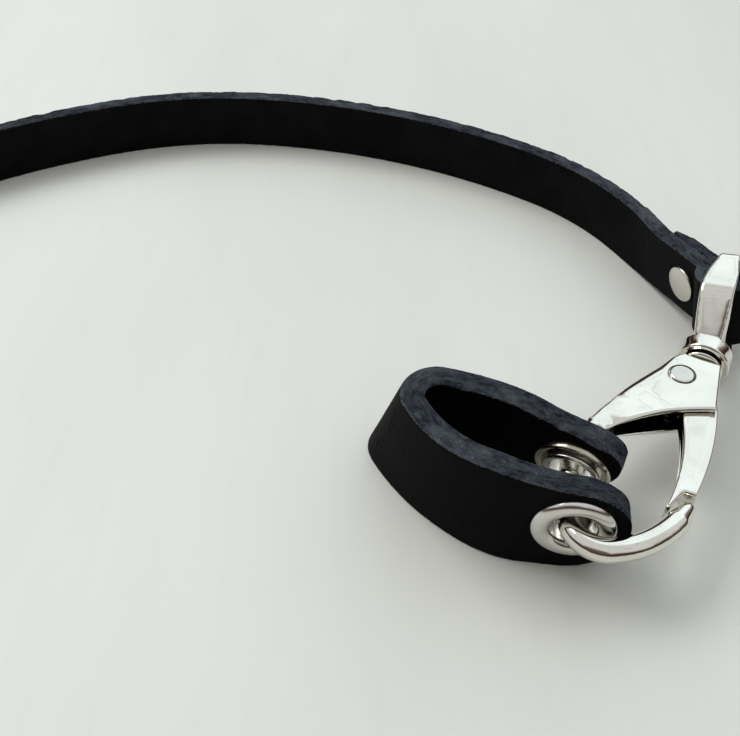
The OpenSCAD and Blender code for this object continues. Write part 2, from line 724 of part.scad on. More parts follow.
// Half of the band's width seen from above: it swells to the middle and narrows to the bar
function eye_half(y) =
    let (wide = eye_band_w / 2, slim = bar_w / 2, bar_front = bar_x - eye_band_t / 2,
         mid = (eye_neck_y + bar_front) / 2)
    y < mid ? wide - 0.45 * pow((mid - y) / (mid - eye_neck_y), 2)
            : wide - (wide - slim) * pow((y - mid) / (bar_front - mid), 2);
function eye_plan() =
    let (bar_front = bar_x - eye_band_t / 2, back_a = acos(min(1, bar_w / 2 / bar_back)),
         side = [for (k = [0 : 12]) let (y = eye_neck_y - 1 + (bar_front - eye_neck_y + 1) * k / 12)
                 [y, eye_half(y)]],
         back = [for (k = [0 : 12]) let (a = back_a + (90 - back_a) * k / 12)
                 [bar_x + bar_back * sin(a), bar_back * cos(a)]])
    concat([for (p = side) [p.x, -p.y]], [for (p = back) if (p.y > eps) [p.x, -p.y]],
           [for (k = [12 : -1 : 0]) back[k]], [for (k = [12 : -1 : 0]) side[k]]);

module swivel_eye() {
    stem_foot = shoulder_y - shoulder_t;
    rim_at = -shoulder_y;
    head_h = 0.45;
    head_gap = 0.05;
    rim_h = 0.6;
    color([0.80, 0.80, 0.80])
        in_clasp()
            rotate([0, -eye_turn, 0]) {
                intersection() {
                    rotate([90, 0, 90])
                        linear_extrude(height = eye_band_w + 2, center = true)
                            difference() {
                                polygon(eye_outer());
                                polygon(eye_window());
                            }
                    linear_extrude(height = eye_h + 2, center = true)
                        polygon([for (p = eye_plan()) [p.y, p.x]]);
                }
                rotate([-90, 0, 0]) {
                    translate([0, 0, side_gap - rim_at])
                        cylinder(h = rim_h, d = collar_d - 1.4);
                    translate([0, 0, side_gap - rim_at])
                        cylinder(h = collar_h + rim_at - side_gap, d = collar_d - 3);
                    translate([0, 0, side_gap - rim_at + rim_h + 0.35])
                        cylinder(h = collar_h + rim_at - side_gap - rim_h - 0.35, d = collar_d);
                    translate([0, 0, collar_h - eps])
                        cylinder(h = 2.2, d1 = 4.6, d2 = 3.4);
                    translate([0, 0, stem_foot - head_gap])
                        cylinder(h = -stem_foot + head_gap + eps, d = stem_d);
                    translate([0, 0, stem_foot - head_gap - head_h])
                        cylinder(h = head_h, d = min(stem_head_d, 2 * half_gap - 2 * run_gap));
                }
            }
}

// The part stands on z = 0 with its origin under the middle of its bounding box
corner_start = hook_starts[2];
corner_r = hook_runs[2][0] / (-hook_runs[2][1] * arc_of);
corner_mid = [corner_start.x, corner_start.y]
    + corner_r * [sin(corner_start[2]), -cos(corner_start[2])];
corner_y = clasp_at.y - sin(clasp_turn) * corner_mid.x + cos(clasp_turn) * corner_mid.y;
low_x = min([for (r = strap_rings) for (p = r) p.x]);
high_x = max([for (r = strap_rings) for (p = r) p.x]);
low_y = corner_y - corner_r - wire_d / 2;
high_y = max([for (r = strap_rings) for (p = r) p.y]);
origin = [(low_x + high_x) / 2, (low_y + high_y) / 2];

module seated() {
    translate([-origin.x, -origin.y, 0])
        children();
}

seated() protector_leather();
seated() near_eyelet();
seated() near_washer();
seated() far_eyelet();
seated() far_washer();
seated() hook_body();
seated() gate();
seated() pivot_rivet();
seated() gate_spring();
seated() swivel_eye();
seated() strap();
seated() rivet_cap();
seated() rivet_post();
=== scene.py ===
"""Looks of a folded leather bow protector on a swivel snap hook and a leather strap.

Sizes are written in millimetres and turned into metres where a mesh is made.
"""

import math
from collections import namedtuple

import bmesh
import bpy
from mathutils import Matrix, Vector, kdtree, noise


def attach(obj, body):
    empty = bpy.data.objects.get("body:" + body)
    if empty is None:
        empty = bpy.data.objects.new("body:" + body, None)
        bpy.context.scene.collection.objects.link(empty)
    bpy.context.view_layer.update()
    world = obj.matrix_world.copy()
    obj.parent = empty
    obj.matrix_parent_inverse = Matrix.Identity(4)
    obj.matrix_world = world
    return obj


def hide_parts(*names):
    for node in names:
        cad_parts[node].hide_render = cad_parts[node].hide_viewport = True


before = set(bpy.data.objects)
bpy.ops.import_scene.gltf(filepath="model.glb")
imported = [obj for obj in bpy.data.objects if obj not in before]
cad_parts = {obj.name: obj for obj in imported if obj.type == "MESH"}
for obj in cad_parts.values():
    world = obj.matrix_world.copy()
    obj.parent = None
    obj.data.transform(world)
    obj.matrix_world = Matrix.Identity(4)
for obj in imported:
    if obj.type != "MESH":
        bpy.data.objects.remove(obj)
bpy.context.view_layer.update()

MM = 0.001
UP = Vector((0, 0, 1))

# Places are written on a plan whose zero lies under the camera. The part's origin is here on it.
PLAN_ORIGIN = Vector((-23.846, 107.615, 0.0))


def place(point):
    """A point of the plan, in millimetres, as a place in the part's frame in metres."""
    return (Vector(point) - PLAN_ORIGIN) * MM


def ways(heading):
    """The way along a heading on the plan, in degrees, and the way to its left."""
    h = math.radians(heading)
    return Vector((math.cos(h), math.sin(h), 0)), Vector((-math.sin(h), math.cos(h), 0))


# The clasp: the height of its mid-plane, the middle of its body's end face, and the ways across
# and ahead along its swivel axis. The eye is turned a little about that axis.
MID_Z = 8.25
CLASP_AT = Vector((45.3, 87.3, MID_Z))
ACROSS, AHEAD = ways(-28)
EYE_TURN = 12


# Camera and light

CAMERA_Z, CAMERA_TILT = 94.5, 45
FILM_W, LENS_L = 36, 43.78

# The room that the metal reflects: its tones from the horizon up, and what stands out in it
ROOM_TONES = [
    (0.0, (0.15, 0.10, 0.075)),
    (0.05, (0.045, 0.022, 0.016)),
    (0.20, (0.085, 0.052, 0.042)),
    (0.31, (0.27, 0.23, 0.21)),
    (0.42, (0.80, 0.80, 0.79)),
    (0.60, (0.92, 0.94, 0.94)),
    (1.0, (0.90, 0.92, 0.92)),
]
FRONT_WAY = (-0.30, -0.95, 0)
WINDOW_WAY, WINDOW_TONE = (0.27, 0.67, 0.69), (1.40, 1.54, 1.60)
FIGURE_WAY, FIGURE_TONE = (-0.30, -0.86, 0.41), (0.12, 0.075, 0.058)
TWIG_TONE = (0.16, 0.14, 0.13)
ROOM_LIGHT = 0.80


def add_camera():
    """The camera stands over the plan's zero and looks ahead and down."""
    lens = bpy.data.cameras.new("camera")
    lens.sensor_width = FILM_W
    lens.lens = LENS_L
    lens.clip_start = 0.005
    lens.clip_end = 20
    camera = bpy.data.objects.new("camera", lens)
    camera.location = place((0, 0, CAMERA_Z))
    camera.rotation_euler = (math.radians(CAMERA_TILT), 0, 0)
    bpy.context.scene.collection.objects.link(camera)
    bpy.context.scene.camera = camera


def add_softbox(name, at, towards, size, watts, colour):
    """A large soft lamp; its place and its size are in metres, in the part's frame."""
    lamp = bpy.data.lights.new(name, "AREA")
    lamp.shape = "RECTANGLE"
    lamp.size, lamp.size_y = size
    lamp.energy = watts
    lamp.color = colour
    box = bpy.data.objects.new(name, lamp)
    box.location = at
    box.rotation_euler = (Vector(towards) - Vector(at)).to_track_quat("-Z", "Y").to_euler()
    bpy.context.scene.collection.objects.link(box)


class Term:
    """One shader value that takes part in written-out sums."""

    def __init__(self, sheet, socket):
        self.sheet = sheet
        self.socket = socket

    def _maths(self, operation, first, second):
        return self.sheet.node("ShaderNodeMath", {"operation": operation}, [first, second])

    def __add__(self, other):
        return self._maths("ADD", self, other)

    def __radd__(self, other):
        return self._maths("ADD", other, self)

    def __sub__(self, other):
        return self._maths("SUBTRACT", self, other)

    def __rsub__(self, other):
        return self._maths("SUBTRACT", other, self)

    def __mul__(self, other):
        return self._maths("MULTIPLY", self, other)

    def __rmul__(self, other):
        return self._maths("MULTIPLY", other, self)

    def above(self, low, high):
        """0 under low, 1 over high, and a smooth rise between them."""
        return self.sheet.node(
            "ShaderNodeMapRange",
            {"interpolation_type": "SMOOTHSTEP"},
            {"Value": self, "From Min": low, "From Max": high},
        )


class Sheet:
    """The node sheet of one material or of the world."""

    def __init__(self, owner):
        owner.use_nodes = True
        self.tree = owner.node_tree
        self.tree.nodes.clear()

    def node(self, kind, settings, inputs, output=0):
        """Add a node, set it, fill or link its inputs, and give back one of its outputs."""
        made = self.tree.nodes.new(kind)
        for key, value in settings.items():
            if key == "stops":
                ramp = made.color_ramp
                while len(ramp.elements) < len(value):
                    ramp.elements.new(0.5)
                for stop, (where, colour) in zip(ramp.elements, value):
                    stop.position = where
                    stop.color = (*colour, 1)
            else:
                setattr(made, key, value)
        pairs = enumerate(inputs) if isinstance(inputs, list) else inputs.items()
        for key, value in pairs:
            if value is None:
                continue
            if isinstance(value, Term):
                self.tree.links.new(value.socket, made.inputs[key])
            else:
                made.inputs[key].default_value = value
        return Term(self, made.outputs[output]) if made.outputs else None

    def object_place(self):
        return self.node("ShaderNodeTexCoord", {}, {}, "Object")

    def attribute(self, name, output="Fac"):
        return self.node("ShaderNodeAttribute", {"attribute_name": name}, {}, output)

    def stretched(self, vector, scale):
        return self.node("ShaderNodeMapping", {}, {"Vector": vector, "Scale": scale})

    def facing(self, vector, way):
        """How far a vector points a certain way."""
        return self.node(
            "ShaderNodeVectorMath", {"operation": "DOT_PRODUCT"}, [vector, way], "Value"
        )

    def unevenness(self, vector, scale, detail=2.0, roughness=0.5):
        return self.node(
            "ShaderNodeTexNoise",
            {},
            {"Vector": vector, "Scale": scale, "Detail": detail, "Roughness": roughness},
        )

    def cloud(self, vector, size_mm, detail=2.0, roughness=0.5):
        """Noise whose patches are about size_mm across."""
        return self.unevenness(vector, 1 / (size_mm * MM), detail, roughness)

    def cells(self, vector, scale, feature="F1"):
        """Cells with a size of 1 / scale, read as the distance to their middle or their edge."""
        return self.node(
            "ShaderNodeTexVoronoi",
            {"feature": feature},
            {"Vector": vector, "Scale": scale},
            "Distance",
        )

    def blend(self, factor, first, second):
        return self.node(
            "ShaderNodeMix",
            {"data_type": "RGBA"},
            {0: factor, 6: colour_of(first), 7: colour_of(second)},
            2,
        )

    def relief(self, height, depth_mm, normal=None):
        return self.node(
            "ShaderNodeBump",
            {},
            {"Height": height, "Distance": depth_mm * MM, "Strength": 1.0, "Normal": normal},
        )

    def surface(self, inputs):
        shader = self.node("ShaderNodeBsdfPrincipled", {}, inputs)
        self.node("ShaderNodeOutputMaterial", {}, {"Surface": shader})


def colour_of(value):
    return value if isinstance(value, Term) else (*value, 1)


def add_world():
    """A pale room over a dark brown band that stands higher in front, with a bright window behind
    the part, fine dark twigs across the sky, and a dark figure on the camera's side."""
    world = bpy.data.worlds.new("room")
    bpy.context.scene.world = world
    sheet = Sheet(world)
    way = sheet.node("ShaderNodeTexCoord", {}, {}, "Generated")
    height = sheet.node("ShaderNodeSeparateXYZ", {}, {"Vector": way}, "Z")
    uneven = sheet.unevenness(way, 2.6)
    wander = uneven - 0.5
    in_front = sheet.facing(way, FRONT_WAY).above(0.3, 0.85)
    level = height + wander * height.above(0.02, 0.3) * 0.34 - in_front * 0.17
    tone = sheet.node("ShaderNodeValToRGB", {"stops": ROOM_TONES}, {"Fac": level})
    window = (sheet.facing(way, WINDOW_WAY) + wander * 0.10).above(0.80, 0.90)
    tone = sheet.blend(window, tone, WINDOW_TONE)
    figure = (sheet.facing(way, FIGURE_WAY) + wander * 0.08).above(0.875, 0.94)
    tone = sheet.blend(figure * 0.85, tone, FIGURE_TONE)
    branch = sheet.cells(way, 7.0, "DISTANCE_TO_EDGE")
    twigs = (1 - branch.above(0.004, 0.030)) * level.above(0.36, 0.5) * uneven.above(0.40, 0.55)
    tone = sheet.blend(twigs * 0.62, tone, TWIG_TONE)
    light = sheet.node("ShaderNodeBackground", {}, {"Color": tone, "Strength": ROOM_LIGHT})
    sheet.node("ShaderNodeOutputWorld", {}, {"Surface": light})


bpy.context.scene.view_settings.view_transform = "Standard"
add_camera()
add_world()
add_softbox("left window", at=(-0.42, 0.30, 0.62), towards=(0.04, 0, 0), size=(0.5, 0.4),
            watts=3.6, colour=(0.99, 1, 1))


# Materials

# The black of the painted shade in the hook's channel and pivot grooves
PAINTED_SHADE_TONE = (0.010, 0.009, 0.008)
STEEL_DARK, STEEL_LIGHT = (0.46, 0.46, 0.47), (0.62, 0.61, 0.60)
SCUFF_TONE = (0.026, 0.029, 0.036)
FIBRE_DARK, FIBRE_LIGHT = (0.0075, 0.0095, 0.014), (0.042, 0.049, 0.060)
PATCH_TONE, FLECK_TONE, TORN_TONE = (0.076, 0.085, 0.099), (0.21, 0.22, 0.23), (0.13, 0.135, 0.14)
FLOOR_DARK, FLOOR_LIGHT = (0.655, 0.655, 0.612), (0.700, 0.700, 0.656)
BRUSH_TONE = (0.55, 0.55, 0.51)
PORE_L = 0.5


def nickel(name, tone, shade, gloss, waviness_mm):
    """Plated metal: a slow change of tone, fine hairlines both ways, a surface that isn't quite
    flat, and painted shade, black and rough, in the body's recesses."""
    material = bpy.data.materials.new(name)
    sheet = Sheet(material)
    spot = sheet.object_place()
    hair = sheet.cloud(sheet.stretched(spot, (1, 9, 1)), 0.9, 4, 0.65).above(0.60, 0.72)
    fine = sheet.cloud(sheet.stretched(spot, (7, 1, 2)), 0.6, 3, 0.6).above(0.62, 0.74)
    marks = hair * 0.5 + fine * 0.5
    handled = sheet.cloud(spot, 1.6, 2).above(0.45, 0.75)
    # Painted shade: where this attribute is set, the metal turns black and rough
    tarnish = sheet.attribute("tarnish")
    base = sheet.blend(sheet.cloud(spot, 6, 2).above(0.35, 0.65), tone, shade)
    base = sheet.blend(tarnish, base, PAINTED_SHADE_TONE)
    rough = gloss + marks * 0.10 + handled * 0.04 + tarnish * 0.5
    waves = sheet.relief(sheet.cloud(spot, 3.4, 1, 0.4), waviness_mm)
    sheet.surface({"Base Color": base, "Metallic": 1.0, "Roughness": rough,
                   "Normal": sheet.relief(marks, 0.002, waves)})
    return material


def leather(name, face_tone, sheen):
    """Black finished leather, with a fine grain on its faces and raw blue-grey fibre at its cuts.

    It reads three attributes of a strip: run, its flat measures, cut, 1 on a cut edge, and bend.
    """
    material = bpy.data.materials.new(name)
    sheet = Sheet(material)
    run = sheet.attribute("run", "Vector")
    cut = sheet.attribute("cut")
    bend = sheet.attribute("bend")

    def streaks(scale, size_mm, detail, roughness):
        return sheet.cloud(sheet.stretched(run, scale), size_mm, detail, roughness)

    slow = sheet.cloud(run, 5.0, 3)
    creases = streaks((3.2, 1, 0.35), 1.5, 4, 0.62).above(0.46, 0.66) * bend
    scuffs = streaks((0.5, 1, 2.6), 1.3, 5, 0.72).above(0.60, 0.76)
    face = sheet.blend(
        slow.above(0.3, 0.7),
        [face_tone * k for k in (0.85, 0.9, 1.1)],
        [face_tone * k for k in (1.7, 1.8, 2.2)],
    )
    face = sheet.blend(scuffs * (0.15 + bend * 0.5), face, SCUFF_TONE)

    fibre = streaks((0.55, 2.2, 1.6), 0.9, 6, 0.72)
    patch = streaks((0.6, 1.2, 1), 3.2, 4, 0.6).above(0.42, 0.66)
    fleck = streaks((0.8, 1.7, 1.4), 0.34, 3, 0.7).above(0.57, 0.67)
    raw = sheet.blend(fibre.above(0.36, 0.64), FIBRE_DARK, FIBRE_LIGHT)
    raw = sheet.blend(patch * 0.7, raw, PATCH_TONE)
    raw = sheet.blend(fleck * (0.35 + patch * 0.6), raw, FLECK_TONE)

    edge = (cut + (fibre - 0.5) * 0.55).above(0.30, 0.55)
    torn = streaks((1, 2, 2), 0.5, 4, 0.7).above(0.50, 0.60)
    rim = cut.above(0.04, 0.30) * (1 - cut.above(0.70, 0.98))
    colour = sheet.blend(edge, face, raw)
    colour = sheet.blend(rim * torn * 0.75, colour, TORN_TONE)

    rough = 0.58 + slow * 0.12 + creases * 0.1 + edge * 0.26
    pores = sheet.cells(run, 1 / (PORE_L * MM)) * 0.5 + sheet.cloud(run, 0.22, 3, 0.6) * 0.6
    grain = sheet.relief(pores, 0.028)
    grain = sheet.relief(creases * (1 - edge), 0.10, grain)
    grain = sheet.relief((fibre + fleck * 0.4) * edge, 0.17, grain)
    sheet.surface({"Base Color": colour, "Roughness": rough, "Specular IOR Level": sheen,
                   "Normal": grain})
    return material


def drawn_steel(name):
    """Spring wire with the fine lines of the die it was drawn through."""
    material = bpy.data.materials.new(name)
    sheet = Sheet(material)
    spot = sheet.object_place()
    lines = sheet.cloud(sheet.stretched(spot, (6, 1, 1)), 0.4, 3)
    base = sheet.blend(lines, STEEL_DARK, STEEL_LIGHT)
    sheet.surface({"Base Color": base, "Metallic": 1.0, "Roughness": 0.22 + lines * 0.12,
                   "Normal": sheet.relief(lines, 0.004)})
    return material


def pale_floor(name):
    """A pale, faintly brushed floor."""
    material = bpy.data.materials.new(name)
    sheet = Sheet(material)
    spot = sheet.object_place()
    veil = sheet.cloud(sheet.stretched(spot, (1, 0.3, 1)), 55, 4, 0.6)
    brush = sheet.cloud(sheet.stretched(spot, (1, 0.08, 1)), 2.2, 3, 0.6)
    base = sheet.blend(veil.above(0.3, 0.7), FLOOR_DARK, FLOOR_LIGHT)
    base = sheet.blend(brush.above(0.52, 0.75) * 0.12, base, BRUSH_TONE)
    sheet.surface({"Base Color": base, "Roughness": 0.55, "Normal": sheet.relief(brush, 0.03)})
    return material


POLISHED = nickel("polished nickel", (0.80, 0.78, 0.72), (0.74, 0.72, 0.66), 0.045, 0.035)
PEENED = nickel("peened nickel", (0.74, 0.73, 0.69), (0.60, 0.59, 0.55), 0.13, 0.10)
SATIN = nickel("satin nickel", (0.72, 0.71, 0.68), (0.62, 0.60, 0.56), 0.19, 0.010)
WASHER = nickel("aged nickel", (0.58, 0.55, 0.46), (0.44, 0.41, 0.32), 0.20, 0.012)
CAP = nickel("rivet nickel", (0.70, 0.68, 0.62), (0.62, 0.60, 0.54), 0.24, 0.008)
GUARD_LEATHER = leather("protector leather", 0.0026, 0.035)
STRAP_LEATHER = leather("strap leather", 0.0034, 0.05)
STEEL = drawn_steel("drawn steel")


# Modelling helpers

# Points closer than this, in metres, are one, and edges sharper than this stay crisp
WELD = 2e-6
TURNED_CREASE, CAST_CREASE = math.radians(38), math.radians(40)


def activate(piece):
    bpy.ops.object.select_all(action="DESELECT")
    piece.select_set(True)
    bpy.context.view_layer.objects.active = piece


def in_edit_mode(piece, steps):
    activate(piece)
    bpy.ops.object.mode_set(mode="EDIT")
    bpy.ops.mesh.select_all(action="SELECT")
    steps()
    bpy.ops.object.mode_set(mode="OBJECT")


def apply_modifier(piece, kind, settings):
    added = piece.modifiers.new(kind.lower(), kind)
    for key, value in settings.items():
        setattr(added, key, value)
    activate(piece)
    bpy.ops.object.modifier_apply(modifier=added.name)


def remesh(piece, voxel_mm):
    apply_modifier(piece, "REMESH", {"mode": "VOXEL", "voxel_size": voxel_mm * MM,
                                     "use_smooth_shade": True})


def smooth(piece, passes, group=""):
    apply_modifier(piece, "SMOOTH", {"factor": 0.5, "iterations": passes, "vertex_group": group})


def copy_of_solid(node, name):
    """A new piece with a merged copy of a solid's mesh."""
    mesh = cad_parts[node].data.copy()
    piece = bpy.data.objects.new(name, mesh)
    bpy.context.scene.collection.objects.link(piece)
    in_edit_mode(piece, lambda: bpy.ops.mesh.remove_doubles(threshold=WELD))
    return piece


def dress(piece, material, body, solids):
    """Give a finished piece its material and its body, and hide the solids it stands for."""
    piece.data.materials.clear()
    piece.data.materials.append(material)
    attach(piece, body)
    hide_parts(*solids)


def stand(piece, at, axis):
    """Turn a new piece's z axis along axis, and bring it to a point of the plan."""
    turn = Vector(axis).to_track_quat("Z", "Y").to_matrix().to_4x4()
    piece.data.transform(Matrix.Translation(place(at)) @ turn)


def disc(at, axis, radius, depth):
    """A round cutter centred on a point of the plan."""
    bpy.ops.object.select_all(action="DESELECT")
    bpy.ops.mesh.primitive_cylinder_add(vertices=72, radius=radius * MM, depth=depth * MM)
    cutter = bpy.context.active_object
    stand(cutter, at, axis)
    return cutter


def cut_away(piece, cutter):
    """Take a solid cutter out of a piece."""
    apply_modifier(
        piece, "BOOLEAN", {"operation": "DIFFERENCE", "object": cutter, "solver": "EXACT"}
    )
    bpy.data.objects.remove(cutter)


def soften_rims(piece, top, reach):
    """Round the outline's rims to an ellipse, above and below the clasp's mid-plane.

    top gives the half thickness at a point, and reach how far in and down its rounding goes. A
    point that isn't on a wall measures how far in it lies from the nearest wall under a rim.
    """
    mesh = piece.data
    wall_depth, overshoot = 0.85, 0.1

    def rise(v):
        return abs(v.co.z / MM - MID_Z)

    def is_wall(v):
        return abs(v.normal.z) < 0.35

    def inward_from(v):
        return -Vector((v.normal.x, v.normal.y, 0)).normalized()

    walls = [v for v in mesh.vertices if is_wall(v) and rise(v) > top(v.co) - wall_depth]
    tree = kdtree.KDTree(len(walls))
    for k, v in enumerate(walls):
        tree.insert((v.co.x, v.co.y, 0), k)
    tree.balance()
    moved = {}
    for v in mesh.vertices:
        (inset, drop), down = reach(v.co), top(v.co) - rise(v)
        if not -overshoot <= down <= drop:
            continue
        if is_wall(v):
            inward, depth = inward_from(v), 0.0
        else:
            _, k, gap = tree.find((v.co.x, v.co.y, 0))
            inward, depth = inward_from(walls[k]), gap / MM
        spoke = Vector((depth / inset - 1, down / drop - 1))
        if depth > inset or spoke.length <= 1:
            continue
        spoke.normalize()
        side = 1 if v.co.z > MID_Z * MM else -1
        fall = Vector((0, 0, side * (spoke.y * drop + drop - down)))
        moved[v.index] = v.co + (inward * (spoke.x * inset + inset - depth) - fall) * MM
    for k, co in moved.items():
        mesh.vertices[k].co = co
    mesh.update()


def turned(name, profile, at, axis):
    """A turned piece: one point is drawn out along a profile of (radius, height), then spun."""
    bpy.ops.object.select_all(action="DESELECT")
    bpy.ops.mesh.primitive_plane_add(size=MM)
    piece = bpy.context.active_object
    piece.name = name
    bpy.ops.object.mode_set(mode="EDIT")
    bpy.ops.mesh.select_mode(type="VERT")
    bpy.ops.mesh.select_all(action="SELECT")
    bpy.ops.mesh.merge(type="CENTER")
    first = profile[0]
    bpy.ops.transform.translate(value=(first[0] * MM, 0, first[1] * MM))
    for before, after in zip(profile, profile[1:]):
        step = ((after[0] - before[0]) * MM, 0, (after[1] - before[1]) * MM)
        bpy.ops.mesh.extrude_region_move(TRANSFORM_OT_translate={"value": step})
    bpy.ops.mesh.select_all(action="SELECT")
    bpy.ops.mesh.spin(steps=96, angle=2 * math.pi, center=(0, 0, 0), axis=(0, 0, 1))
    bpy.ops.mesh.select_all(action="SELECT")
    bpy.ops.mesh.remove_doubles(threshold=WELD)
    bpy.ops.mesh.normals_make_consistent(inside=False)
    bpy.ops.object.mode_set(mode="OBJECT")
    bpy.ops.object.shade_smooth_by_angle(angle=TURNED_CREASE)
    stand(piece, at, axis)
    return piece


def arc(centre, radius, start, stop, count):
    """Profile points on an arc round centre, angles in degrees from the outward direction."""
    points = []
    for k in range(count + 1):
        a = math.radians(start + (stop - start) * k / count)
        points.append((centre[0] + radius * math.cos(a), centre[1] + radius * math.sin(a)))
    return points


# Leather strips, laid along paths on the plan


def run_end(x, y, heading, length, turn):
    """Where a run of a length ends that turns left by turn degrees on its way."""
    h = math.radians(heading)
    if turn == 0:
        return x + length * math.cos(h), y + length * math.sin(h), heading
    r = length / math.radians(turn)
    g = math.radians(heading + turn)
    return x + r * (math.sin(g) - math.sin(h)), y - r * (math.cos(g) - math.cos(h)), heading + turn


class Path:
    """A plan path made of runs of (length, turn), read at any distance from its start."""

    def __init__(self, x, y, heading, runs):
        self.starts = [(0.0, x, y, heading)]
        self.runs = runs
        for length, turn in runs:
            s, x, y, heading = self.starts[-1]
            x, y, heading = run_end(x, y, heading, length, turn)
            self.starts.append((s + length, x, y, heading))
        self.length = self.starts[-1][0]

    def at(self, s):
        """x, y, heading, and how sharply the path turns there in degrees per millimetre."""
        last = len(self.runs) - 1
        k = next((k for k in range(last) if s <= self.starts[k + 1][0]), last)
        (s0, x, y, heading), (length, turn) = self.starts[k], self.runs[k]
        part = (s - s0) / length
        x, y, heading = run_end(x, y, heading, length * part, turn * part)
        return x, y, heading, turn / length


def ease(t):
    """0 up to t = 0, 1 from t = 1 on, and a smooth rise between them."""
    t = min(1.0, max(0.0, t))
    return t * t * (3 - 2 * t)


# A strip's section: its distance along the strip, its middle, the ways up and sideways, its
# thickness, how far it reaches below and above its middle, and how strongly it is creased
Station = namedtuple("Station", "s centre up side thick low high bend")


def choose_edges(piece, test):
    """Select the edges of a piece in edit mode that pass a test on their two ends."""
    bpy.ops.mesh.select_mode(type="EDGE")
    bpy.ops.mesh.select_all(action="DESELECT")
    shape = bmesh.from_edit_mesh(piece.data)
    for edge in shape.edges:
        if test(edge.verts[0].co / MM, edge.verts[1].co / MM):
            edge.select_set(True)
    bmesh.update_edit_mesh(piece.data)


def creasing(bend, sharp, most):
    """How strongly a strip is creased that bends, with the most where it bends sharp or more."""
    return min(1, abs(bend) / sharp) * most + 0.05


def steps_of(cuts):
    """How many steps a length has that is cut, and whose pieces are cut again."""
    return math.prod(n + 1 for n in cuts)


def flat_strip(name, length, width, thick, corner, cuts, rows):
    """A flat strip with its long edges eased: x along it, y through it and z across it.

    cuts divide its length, and rows its faces and its cut edges.
    """

    def lengthwise(a, b):
        return abs(a.x - b.x) > 1e-4

    def over_face(a, b):
        return not lengthwise(a, b) and abs(a.z - b.z) > width / 2

    def over_cut(a, b):
        on_end = abs(a.z) > width / 2 - 1e-3
        return not lengthwise(a, b) and abs(a.y - b.y) > thick / 2 and on_end

    bpy.ops.object.select_all(action="DESELECT")
    bpy.ops.mesh.primitive_cube_add(size=MM)
    piece = bpy.context.active_object
    piece.name = name
    bpy.ops.object.mode_set(mode="EDIT")
    bpy.ops.mesh.select_all(action="SELECT")
    bpy.ops.transform.resize(value=(length, thick, width))
    bpy.ops.transform.translate(value=(length / 2 * MM, 0, 0))
    choose_edges(piece, lengthwise)
    bpy.ops.mesh.bevel(offset=corner * MM, segments=3, affect="EDGES")
    for number in cuts:
        choose_edges(piece, lengthwise)
        bpy.ops.mesh.subdivide(number_cuts=number)
    for test, number in zip((over_face, over_cut), rows):
        choose_edges(piece, test)
        bpy.ops.mesh.subdivide(number_cuts=number)
    bpy.ops.object.mode_set(mode="OBJECT")
    return piece


def lay_strip(piece, stations, width, thick, corner, fray, chips):
    """Lay a flat strip along its stations, and keep its flat measures for the grain to follow.

    Then its cut edges fray and its faces swell a little. chips gives how far the inner rim has
    crumbled at a distance along the strip.
    """
    chip_reach, face_swell = 1.6, 0.035
    mesh = piece.data
    for name, kind in (("run", "FLOAT_VECTOR"), ("cut", "FLOAT"), ("bend", "FLOAT")):
        mesh.attributes.new(name, kind, "POINT")
    run, cut, bend = (mesh.attributes[name].data for name in ("run", "cut", "bend"))
    last = len(stations) - 1
    length = max(v.co.x for v in mesh.vertices) / MM
    facts = []
    for v in mesh.vertices:
        x, y, z = v.co / MM
        k = round(x / length * last)
        at = stations[k]
        share = z / (width / 2)
        across = y / thick * at.thick
        high = share * (at.high if share > 0 else at.low)
        raw = min(1, max(0, (abs(z) - width / 2 + corner) / corner))
        if k in (0, last):
            raw = 1.0
        inner_rim = max(0, -y / (thick / 2)) * max(0, 1 - (width / 2 - z) / chip_reach)
        high -= chips(at.s) * inner_rim
        facts.append((at.s, across, high, raw))
        run[v.index].vector = (at.s * MM, across * MM, high * MM)
        cut[v.index].value = raw
        bend[v.index].value = at.bend
        v.co = place(at.centre + at.side * across + at.up * high)
    mesh.update()
    normals = [v.normal.copy() for v in mesh.vertices]
    for v, normal, (s, across, high, raw) in zip(mesh.vertices, normals, facts):
        spot = Vector((s, across, high))
        rough = noise.fractal(spot * 0.9, 1.0, 2.0, 3) * 0.6
        rough += noise.noise(spot * 2.7 + Vector((9, 4, 1))) * 0.5
        slow = noise.noise(spot * 0.22 + Vector((3, 7, 5)))
        v.co += normal * MM * (fray * raw * rough + face_swell * (1 - raw) * slow)
    mesh.update()
    in_edit_mode(piece, lambda: bpy.ops.mesh.normals_make_consistent(inside=False))
    bpy.ops.object.shade_smooth()


def nosed(total, nose, count, nose_count, both=True):
    """Distances along a strip in count steps, even but crowded towards its rounded ends."""
    curve = [nose * (1 - math.cos(math.radians(k * 90 / nose_count))) for k in range(nose_count)]
    start, low = (curve, nose) if both else ([], 0.0)
    middle = count - nose_count - len(start)
    span = total - nose - low
    return (start + [low + span * k / middle for k in range(middle + 1)]
            + [total - c for c in reversed(curve)])


# Protector

GUARD_W, GUARD_T, GUARD_END, GUARD_FAR_END = 16.5, 3.0, 6.5, 5.3
GUARD_END_W, TAPER_L = 14.4, 11
GUARD_CORNER, GUARD_FRAY, GUARD_TIP = 0.28, 0.13, 0.5
GUARD_NOSE = GUARD_W / 2 - GUARD_TIP
GUARD_CUTS, GUARD_ROWS = (19, 9), (34, 8)
NOSE_STEPS = 12
NEAR_AT, NEAR_HEADING = (23.6, 61.78), 172.5
EYELET_FLAT, EYELET_HOLE_R = 5.1, 3.25

# The near leg's end and its two bows, the fold, and the far leg with its end
FOLD_R, FOLD_TURN, FOLD_RUN = 3.2, 130, 3
GUARD_RUNS = [
    (GUARD_END + EYELET_FLAT, 0), (7.017, -26), (13.506, -32.5),
    (FOLD_R * math.radians(FOLD_TURN), -FOLD_TURN),
    (7.7, -10.5), (7.4, 0), (GUARD_FAR_END + EYELET_FLAT, 0),
]

